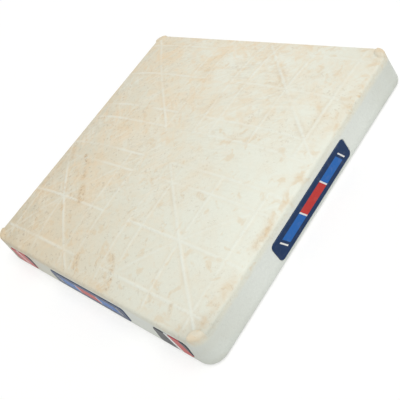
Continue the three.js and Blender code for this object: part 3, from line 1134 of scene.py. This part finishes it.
        straight = 1 - self.corner_at(rim + inset) / rim
        above, total = loop, len(points[0])
        for width, height in self.side_levels(lift, bottom):
            ring = self.on_ring(x[loop], y[loop], width - inset, self.corner_at(width), straight)
            z = np.full(len(loop), height)
            if fine:
                reach = smooth_step(self.edge_height - self.button_root, self.edge_height, z)
                z = z + self.button_height * self.button_share(*ring.T) * reach
            points.append(np.column_stack([ring, z]))
            below = list(range(total, total + len(loop)))
            total += len(loop)
            pairs = list(zip(above, below))
            for (high, low), (next_high, next_low) in zip(pairs, pairs[1:] + pairs[:1]):
                faces.append((high, low, next_low, next_high))
            above = below
        faces.append(tuple(reversed(above)))
        return Shell(np.concatenate(points), faces)

    def build(self, plates: list["SidePlate"]) -> Object:
        """Makes the cover's mesh, with its tread, buttons, hollow and pockets.

        Args:
            plates: Plates that need a pocket.

        Returns:
            The cover, not yet dressed.
        """
        cover = self.crowned_shell(0, 0, 0, True).as_object("moulded_cover")
        hollow = self.crowned_shell(self.wall, -self.wall, self.lip, False)
        ends = (-MARGIN, self.lip + MARGIN)
        opening = loft([square_ring(self.lip_half, self.lip_corner, z) for z in ends])
        rooms = [shell for plate in plates for shell in plate.room()]
        combine(cover, [(Joining.CUT, shell) for shell in (hollow, opening, *rooms)])
        return cover

    def above(self, fade: tuple[float, float], z: np.ndarray) -> np.ndarray:
        """Rises from 0 at the lower to 1 at the upper of two depths under the crown's edge."""
        return smooth_step(self.edge_height - fade[0], self.edge_height - fade[1], z)

    def mark(self, cover: Object) -> None:
        """Stores where the ribs, buttons, worn edge, corners and scuffs are, and where shade is painted, for
        the rubber's finish.

        Args:
            cover: Cover whose mesh is marked.
        """
        x, y, z = points_of(cover.data).T
        on_top = self.above(self.top_fade, z)
        rim = self.rim_half()
        half = np.maximum(np.abs(x), np.abs(y))
        button = self.button_share(x, y)
        kept = on_top * smooth_step(0, self.rib_fade, rim - half) * (1 - button) * self.wear(x, y)
        crests = self.ribs(x, y, self.crest_reach * self.rib_half)
        feet = self.ribs(x, y, self.rib_foot_reach * self.rib_half) - crests
        worn = on_top * smooth_step(self.worn_reach, 0.0, np.abs(half - rim + self.worn_inset))
        browned = smooth_step(self.worn_from, self.worn_full, x)
        browned = self.worn_least + (1 - self.worn_least) * browned
        near_corner = smooth_step(self.corner_shade_from, self.corner_shade_full, (x - y) / math.sqrt(2))
        scuffed = np.max([scuff.cover(x, y) for scuff in SCUFFS], axis=0)
        marks = {
            "rib": kept * crests,
            # Painted shadow with dirt beside the ribs
            "rib_foot": kept * feet.clip(0, 1),
            "button": self.above(self.button_fade, z) * button,
            "edge": worn * (1 - button) * browned,
            # Painted shade at the corners
            "corner": smooth_step(self.corner_from, self.foot_half, np.minimum(np.abs(x), np.abs(y))),
            # Painted shade by the near corner
            "washed": (1 - button) * near_corner,
            "scuff": self.above(self.scuff_fade, z) * scuffed,
        }
        for name, values in marks.items():
            paint(cover.data, name, values)

    def dress(self, cover: Object) -> None:
        """Gives the cover its finish and sets it on the frame."""
        self.mark(cover)
        settle(cover, MouldedRubber().material(), "base", "rubber_cover")


@dataclass
class FoamCore:
    """The foam block that fills the cover above the plate, with room for the flange and the bolts."""

    cover: RubberCover
    clearance: float = 0.4
    bottom: float = 7.2
    pocket_half: float = 60.0
    pocket_corner: float = 8.0
    pocket_top: float = 26.4

    def build(self) -> Object:
        """Makes the block's mesh.

        Returns:
            The block, not yet dressed.
        """
        inset = self.cover.wall + self.clearance
        block = self.cover.crowned_shell(inset, -inset, self.bottom, False).as_object("foam_block")
        ends = (self.bottom - MARGIN, self.pocket_top)
        pocket = loft([square_ring(self.pocket_half, self.pocket_corner, z) for z in ends])
        combine(block, [(Joining.CUT, pocket)])
        return block

    def dress(self, block: Object) -> None:
        """Gives the block its finish and sets it on the frame."""
        settle(block, CutFoam().material(), "base", "foam_core")


@dataclass
class SidePlate:
    """A plate pushed into a pocket in the cover's side, held by pegs on its back."""

    node: str
    slot: str
    design: Print
    cover: RubberCover
    turn: float
    pegs: int
    length: float = field(init=False)
    along: float = field(init=False)
    width: float = 24.0
    corner: float = 5.0
    middle: float = 18.9
    proud: float = 0.6
    edge: float = 0.9
    back_edge: float = 0.4
    face_inset: float = 1.62
    print_depth: float = 0.36
    rubbed_width: float = 1.08
    pocket: float = 3.3
    pocket_lip: float = 0.35
    room_round: float = 0.3
    peg_radius: float = 2.5
    peg_length: float = 4.7
    peg_tip: float = 1.0
    peg_end: float = 12.0
    peg_segments: int = 24
    arc_steps: int = 5

    def __post_init__(self) -> None:
        """Takes the plate's length, and its place along the side, from its solid."""
        low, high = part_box(self.node)
        axis = 1 if self.turn == 0 else 0
        self.length = (high[axis] - low[axis]) / MM
        self.along = (high[axis] + low[axis]) / (2 * MM)

    def place(self) -> Matrix:
        """Works out where the plate sits.

        Returns:
            Frame of the plate, in millimetres: x along the side, y up its slope and z out of it.
        """
        lean = self.cover.lean
        out = Vector((math.cos(lean), 0, math.sin(lean)))
        up = Vector((-math.sin(lean), 0, math.cos(lean)))
        frame_of_side = Matrix((Vector((0, 1, 0)), up, out)).transposed().to_4x4()
        frame_of_side.translation = (self.cover.side_half(self.middle), self.along, self.middle)
        return Matrix.Rotation(self.turn, 4, "Z") @ frame_of_side

    def outline(self, grown: float, z: float) -> np.ndarray:
        """Ring of the plate's outline, grown on all sides, at a height over the side."""
        return rounded_ring(self.length / 2 + grown, self.width / 2 + grown, self.corner + grown, z)

    def peg_places(self) -> np.ndarray:
        """Places of the pegs along the plate."""
        reach = self.length / 2 - self.peg_end
        return np.linspace(-reach, reach, self.pegs)

    def room(self) -> list[Shell]:
        """Makes the shells to cut from the cover.

        Returns:
            The pocket with its soft lip, and a hole for each peg, in their places.
        """
        rings = [self.outline(self.room_round, -self.pocket)]
        for sideways, up in reversed(quarter(self.pocket_lip, self.arc_steps)):
            rings.append(self.outline(self.room_round + self.pocket_lip - sideways, -up))
        rings.append(self.outline(self.room_round + self.pocket_lip, self.pocket))
        bottom = -self.pocket - self.peg_length - self.room_round
        radius = self.peg_radius + self.room_round
        hole = turned([(radius, bottom), (radius, self.room_round - self.pocket)], self.peg_segments)
        shells = [loft(rings), *(hole.shifted(x, 0) for x in self.peg_places())]
        return [shell.placed(self.place()) for shell in shells]

    def build(self) -> Object:
        """Makes the plate's mesh, with rounded front edges and pegs, and stores each point's place on it.

        Returns:
            The plate in its place, not yet dressed.
        """
        back = self.room_round - self.pocket
        rings = [self.outline(-self.back_edge, back), self.outline(0, back + self.back_edge)]
        for sideways, up in quarter(self.edge, self.arc_steps):
            rings.append(self.outline(-sideways, self.proud - self.edge + up))
        rings.append(self.outline(-self.face_inset, self.proud))
        plate = loft(rings).as_object(self.node.replace("insert", "plate").replace("badge", "short_plate"))
        tip = -self.pocket - self.peg_length
        ends = [(self.peg_radius - self.peg_tip, tip), (self.peg_radius, tip + self.peg_tip)]
        peg = turned([*ends, (self.peg_radius, back + self.edge)], self.peg_segments)
        combine(plate, [(Joining.ADD, peg.shifted(x, 0)) for x in self.peg_places()])
        along, up, out = points_of(plate.data).T
        inside = np.minimum(self.length / 2 - np.abs(along), self.width / 2 - np.abs(up))
        face = smooth_step(self.proud - self.edge, self.proud - self.print_depth, out)
        paint(plate.data, "plate_along", along)
        paint(plate.data, "plate_up", up)
        paint(plate.data, "plate_face", face)
        paint(plate.data, "plate_edge", smooth_step(self.rubbed_width, 0, inside))
        place = self.place()
        place.translation *= MM
        plate.data.transform(place)
        return plate

    def dress(self, plate: Object) -> None:
        """Gives the plate its print and sets it on its own body."""
        settle(plate, self.design.value.material(), self.node, self.node)


@dataclass
class GroundStem:
    """The steel under the base: bottom plate, flange, and the square tube that drops into the ground."""

    plate_corner: float = 9.0
    flange_corner: float = 8.0
    tube_half: float = 19.05
    tube_wall: float = 3.2
    tube_corner: float = 4.0
    tube_lead: float = 1.6
    bore_corner: float = 0.8
    hole_room: float = 0.3
    hole_radius: float = 4.3
    hole_corner: float = 0.4
    hole_segments: int = 32
    edge: float = 0.4

    def sheet(self, node: str, corner: float, square_holes: bool) -> Object:
        """Makes a steel sheet with broken edges, a square hole for the tube and four bolt holes.

        Args:
            node: Node whose box gives its size.
            corner: Plan radius of its corners.
            square_holes: Whether the bolt holes are square.

        Returns:
            The sheet.
        """
        low, high = (corner_point / MM for corner_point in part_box(node))
        half, edge = high.x, self.edge
        levels = ((-edge, low.z), (0, low.z + edge), (0, high.z - edge), (-edge, high.z))
        rings = [square_ring(half + grown, corner, z) for grown, z in levels]
        sheet = loft(rings).as_object(f"{node}_sheet")
        room = self.tube_half + self.hole_room
        ends = (low.z - MARGIN, high.z + MARGIN)
        cuts = [loft([square_ring(room, self.tube_corner + self.hole_room, z) for z in ends])]
        if square_holes:
            hole = loft([square_ring(self.hole_radius, self.hole_corner, z, steps=2) for z in ends])
        else:
            hole = turned([(self.hole_radius, z) for z in ends], self.hole_segments)
        cuts += [hole.shifted(x, y) for x, y in StemFixing.places()]
        combine(sheet, [(Joining.CUT, cut) for cut in cuts])
        return sheet

    def tube(self) -> Object:
        """Makes the square tube, with soft corners and a lead-in at its lower end.

        Returns:
            The tube.
        """
        low, high = (corner_point / MM for corner_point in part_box("stem_tube"))
        half, corner, lead = self.tube_half, self.tube_corner, self.tube_lead
        levels = ((-lead, low.z), (0, low.z + lead), (0, high.z))
        rings = [square_ring(half + grown, corner + grown, z, steps=10) for grown, z in levels]
        tube = loft(rings).as_object("stem_square_tube")
        inner = half - self.tube_wall
        ends = (low.z - MARGIN, high.z + MARGIN)
        bore = loft([square_ring(inner, self.bore_corner, z, steps=4) for z in ends])
        combine(tube, [(Joining.CUT, bore)])
        return tube

    def dress(self, plate: Object, flange: Object, tube: Object) -> None:
        """Gives the steel its zinc and sets it on the frame.

        Args:
            plate: Bottom plate.
            flange: Flange above it.
            tube: Square tube.
        """
        plated = ZincedSteel(
            "zinc_plated_sheet", "#ABB0B4", "#9BA0A5", crystal=4.0, roughness=0.45, dust=0.30
        )
        dipped = ZincedSteel("hot_dipped_tube", "#B6BABD", "#999EA2", crystal=6.0, roughness=0.42, dust=0.35)
        sheet_zinc = plated.material()
        settle(plate, sheet_zinc, "base", "base_plate")
        settle(flange, sheet_zinc, "base", "stem_flange")
        settle(tube, dipped.material(), "base", "stem_tube")


@dataclass
class StemFixing:
    """One carriage bolt with its washer and nut, which hold the flange and the plate together."""

    number: int
    x: float
    y: float
    head_height: float = 3.2
    head_radius: float = 10.0
    head_middle: float = 0.8
    head_steps: int = 8
    shank_radius: float = 4.0
    thread_pitch: float = 1.25
    thread_depth: float = 0.6
    thread_steps: int = 6
    neck_half: float = 4.1
    neck_edge: float = 0.5
    lip: float = 3.8
    plate_top: float = 6.8
    flange_top: float = 11.8
    washer_radius: float = 8.0
    washer_thickness: float = 1.6
    washer_edge: float = 0.25
    hole_radius: float = 4.3
    nut_across: float = 13.0
    nut_height: float = 6.5
    nut_face: float = 6.24
    nut_bevel: float = 1.0
    nut_room: float = 0.2
    end: float = 2.5
    segments: int = 32

    @staticmethod
    def places() -> list[tuple[float, float]]:
        """The four bolt positions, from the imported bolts."""
        boxes = [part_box(f"stem_bolt_{number}") for number in range(1, 5)]
        return [((low.x + high.x) / (2 * MM), (low.y + high.y) / (2 * MM)) for low, high in boxes]

    def bolt(self) -> Object:
        """Makes the bolt: domed head, square neck, and a shank with a cut thread.

        Returns:
            The bolt.
        """
        sphere = (self.head_radius**2 + self.head_height**2) / (2 * self.head_height)
        rings = []
        for radius in np.linspace(self.head_middle, self.head_radius, self.head_steps + 1):
            drop = sphere - math.sqrt(sphere**2 - radius**2)
            rings.append(round_ring(radius, self.lip - self.head_height + drop, self.segments))
        for z in (self.lip, self.flange_top):
            rings.append(round_ring(self.shank_radius, z, self.segments))
        top = self.flange_top + self.washer_thickness + self.nut_height + self.end
        turn = np.arange(self.segments) / self.segments
        rise = self.thread_pitch / self.thread_steps
        for step in range(1, int((top - self.flange_top) / rise)):
            z = self.flange_top + step * rise
            phase = (z / self.thread_pitch - turn) % 1.0
            radius = self.shank_radius - self.thread_depth * np.abs(2 * phase - 1)
            rings.append(round_ring(radius, z, self.segments))
        rings.append(round_ring(self.shank_radius - 2 * self.thread_depth, top, self.segments))
        bolt = loft(rings).shifted(self.x, self.y).as_object(f"carriage_bolt_{self.number}")
        ends = (self.lip - self.neck_edge, self.plate_top)
        neck = loft([square_ring(self.neck_half, self.neck_edge, z, steps=3) for z in ends])
        combine(bolt, [(Joining.ADD, neck.shifted(self.x, self.y))])
        return bolt

    def hole(self, low: float, high: float) -> Shell:
        """The hole of the washer or the nut, cut past both of its ends."""
        ends = (low - MARGIN, high + MARGIN)
        return turned([(self.hole_radius, z) for z in ends], self.segments).shifted(self.x, self.y)

    def washer(self) -> Object:
        """Makes the washer, with broken edges.

        Returns:
            The washer.
        """
        low, high = self.flange_top, self.flange_top + self.washer_thickness
        wide, edge = self.washer_radius, self.washer_edge
        disc = turned([(wide - edge, low), (wide, low + edge), (wide, high - edge), (wide - edge, high)])
        washer = disc.shifted(self.x, self.y).as_object(f"plain_washer_{self.number}")
        combine(washer, [(Joining.CUT, self.hole(low, high))])
        return washer

    def nut(self) -> Object:
        """Makes the hexagon nut, with its corners turned down at both ends.

        Returns:
            The nut.
        """
        low = self.flange_top + self.washer_thickness
        high = low + self.nut_height
        corner = self.nut_across / math.sqrt(3)
        hexagon = turned([(corner, low), (corner, high)], segments=6)
        nut = hexagon.shifted(self.x, self.y).as_object(f"hex_nut_{self.number}")
        face, wide, bevel = self.nut_face, corner + self.nut_room, self.nut_bevel
        profile = [(face, low), (wide, low + bevel), (wide, high - bevel), (face, high)]
        cone = turned(profile, self.segments).shifted(self.x, self.y)
        combine(nut, [(Joining.TRIM, cone), (Joining.CUT, self.hole(low, high))])
        return nut

    def dress(self, zinc: Material, bolt: Object, washer: Object, nut: Object) -> None:
        """Gives the fixing its zinc and sets it on the frame."""
        for piece, kind in ((bolt, "bolt"), (washer, "washer"), (nut, "nut")):
            settle(piece, zinc, "base", f"stem_{kind}_{self.number}")


@dataclass
class Studio:
    """Floor, light and camera. The floor is open under the base, where the stem goes into the ground."""

    camera_place: tuple[float, float, float] = (533.67, -252.60, 476.01)
    camera_aim: tuple[float, float, float] = (90.92, -53.26, 50.0)
    camera_roll: float = math.radians(38.164)
    lens: float = 55.95
    floor_half: float = 6000.0
    opening_half: float = 187.0
    opening_corner: float = 16.0
    floor_drop: float = 0.05
    floor_colour: str = "#F6F6F4"
    floor_lift: float = 0.5
    floor_glow: float = 1.12
    white: str = "#FFFFFF"
    sky: float = 0.45
    sun: float = 1.74
    sun_from: tuple[float, float, float] = (0.30, 0.06, 0.95)
    sun_width: float = math.radians(48)

    def background(self, tree: NodeTree) -> NodeSocket:
        """Tells rays that show the background from those that light the base.

        Args:
            tree: Tree of a material or of the world.

        Returns:
            1 for rays that show it by sight, reflection or through glass, and 0 for others.
        """
        rays = add_node(tree, "LightPath").outputs
        inputs = {0: rays["Is Camera Ray"], 1: rays["Is Glossy Ray"]}
        seen = add_node(tree, "Math", inputs, operation="MAXIMUM")
        inputs = {0: seen.outputs[0], 1: rays["Is Transmission Ray"]}
        return add_node(tree, "Math", inputs, operation="MAXIMUM").outputs[0]

    def build_floor(self) -> None:
        """Makes the floor. It is clear from below, so that the underside can be looked at."""
        halves = (self.floor_half, self.opening_half)
        rings = [square_ring(half, self.opening_corner, -self.floor_drop) for half in halves]
        count = len(rings[0])
        faces = [(i, (i + 1) % count, count + (i + 1) % count, count + i) for i in range(count)]
        floor = Shell(np.concatenate(rings), faces).as_object("floor")
        material, tree, surface = new_material("matt_pale_floor")
        paper = add_node(tree, "BsdfDiffuse", {"Color": linear(self.floor_colour)})
        inputs = {0: self.background(tree), 1: self.floor_lift}
        share = add_node(tree, "Math", inputs, operation="MULTIPLY").outputs[0]
        glow = add_node(tree, "Emission", {"Strength": self.floor_glow})
        lit = add_node(tree, "MixShader", {0: share, 1: paper.outputs[0], 2: glow.outputs[0]})
        below = add_node(tree, "NewGeometry").outputs["Backfacing"]
        clear = add_node(tree, "BsdfTransparent")
        inputs = {0: below, 1: lit.outputs[0], 2: clear.outputs[0]}
        tree.links.new(add_node(tree, "MixShader", inputs).outputs[0], surface)
        floor.data.materials.append(material)

    def build_light(self) -> None:
        """Makes an even sky and one broad soft lamp from above, which together light a level face at 1."""
        world = bpy.data.worlds.new("studio")
        bpy.context.scene.world = world
        world.use_nodes = True
        tree = world.node_tree
        tree.nodes.clear()
        sky, white = (
            add_node(tree, "Background", {"Color": linear(self.white), "Strength": strength})
            for strength in (self.sky, 1.0)
        )
        inputs = {0: self.background(tree), 1: sky.outputs[0], 2: white.outputs[0]}
        mixed = add_node(tree, "MixShader", inputs)
        add_node(tree, "OutputWorld", {"Surface": mixed.outputs[0]})
        lamp = bpy.data.lights.new("softbox", "SUN")
        lamp.energy = self.sun
        lamp.angle = self.sun_width
        softbox = bpy.data.objects.new("softbox", lamp)
        softbox.rotation_mode = "QUATERNION"
        softbox.rotation_quaternion = Vector(self.sun_from).to_track_quat("Z", "Y")
        bpy.context.scene.collection.objects.link(softbox)

    def build_camera(self) -> None:
        """Makes the camera at the photograph's place, rolled as the photograph is."""
        lens = bpy.data.cameras.new("camera")
        lens.lens = self.lens
        camera = bpy.data.objects.new("camera", lens)
        place, aim = (Vector(point) * MM for point in (self.camera_place, self.camera_aim))
        level = (aim - place).to_track_quat("-Z", "Y")
        camera.rotation_mode = "QUATERNION"
        camera.rotation_quaternion = level @ Quaternion((0, 0, 1), -self.camera_roll)
        camera.location = place
        bpy.context.scene.collection.objects.link(camera)
        bpy.context.scene.camera = camera

    def build(self) -> None:
        """Makes the whole stage."""
        bpy.context.scene.view_settings.view_transform = "Standard"
        self.build_floor()
        self.build_light()
        self.build_camera()


def main() -> None:
    """Builds and dresses every piece, then the stage."""
    logging.basicConfig(level=logging.INFO, format="%(message)s")
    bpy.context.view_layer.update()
    cover = RubberCover(foot_half=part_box("rubber_cover")[1].x / MM)
    right, front = 0.0, -UP_TURN
    plates = [
        SidePlate("right_insert", "insert_navy", Print.LONG, cover, right, pegs=3),
        SidePlate("front_insert", "insert_navy", Print.LONG, cover, front, pegs=3),
        SidePlate("front_left_badge", "badge_red", Print.RED_SHORT, cover, front, pegs=2),
        SidePlate("front_right_badge", "badge_dark", Print.DARK_SHORT, cover, front, pegs=2),
    ]
    cover.dress(cover.build(plates))
    core = FoamCore(cover)
    core.dress(core.build())
    for plate in plates:
        plate.dress(plate.build())
    stem = GroundStem()
    stem.dress(
        stem.sheet("base_plate", stem.plate_corner, True),
        stem.sheet("stem_flange", stem.flange_corner, False),
        stem.tube(),
    )
    bright = ZincedSteel("bright_zinc", "#C3C6C9", "#BABEC1", crystal=1.5, roughness=0.32, dust=0.15)
    zinc = bright.material()
    for number, (x, y) in enumerate(StemFixing.places(), start=1):
        fixing = StemFixing(number, x, y)
        fixing.dress(zinc, fixing.bolt(), fixing.washer(), fixing.nut())
    Studio().build()


if __name__ == "__main__":
    main()
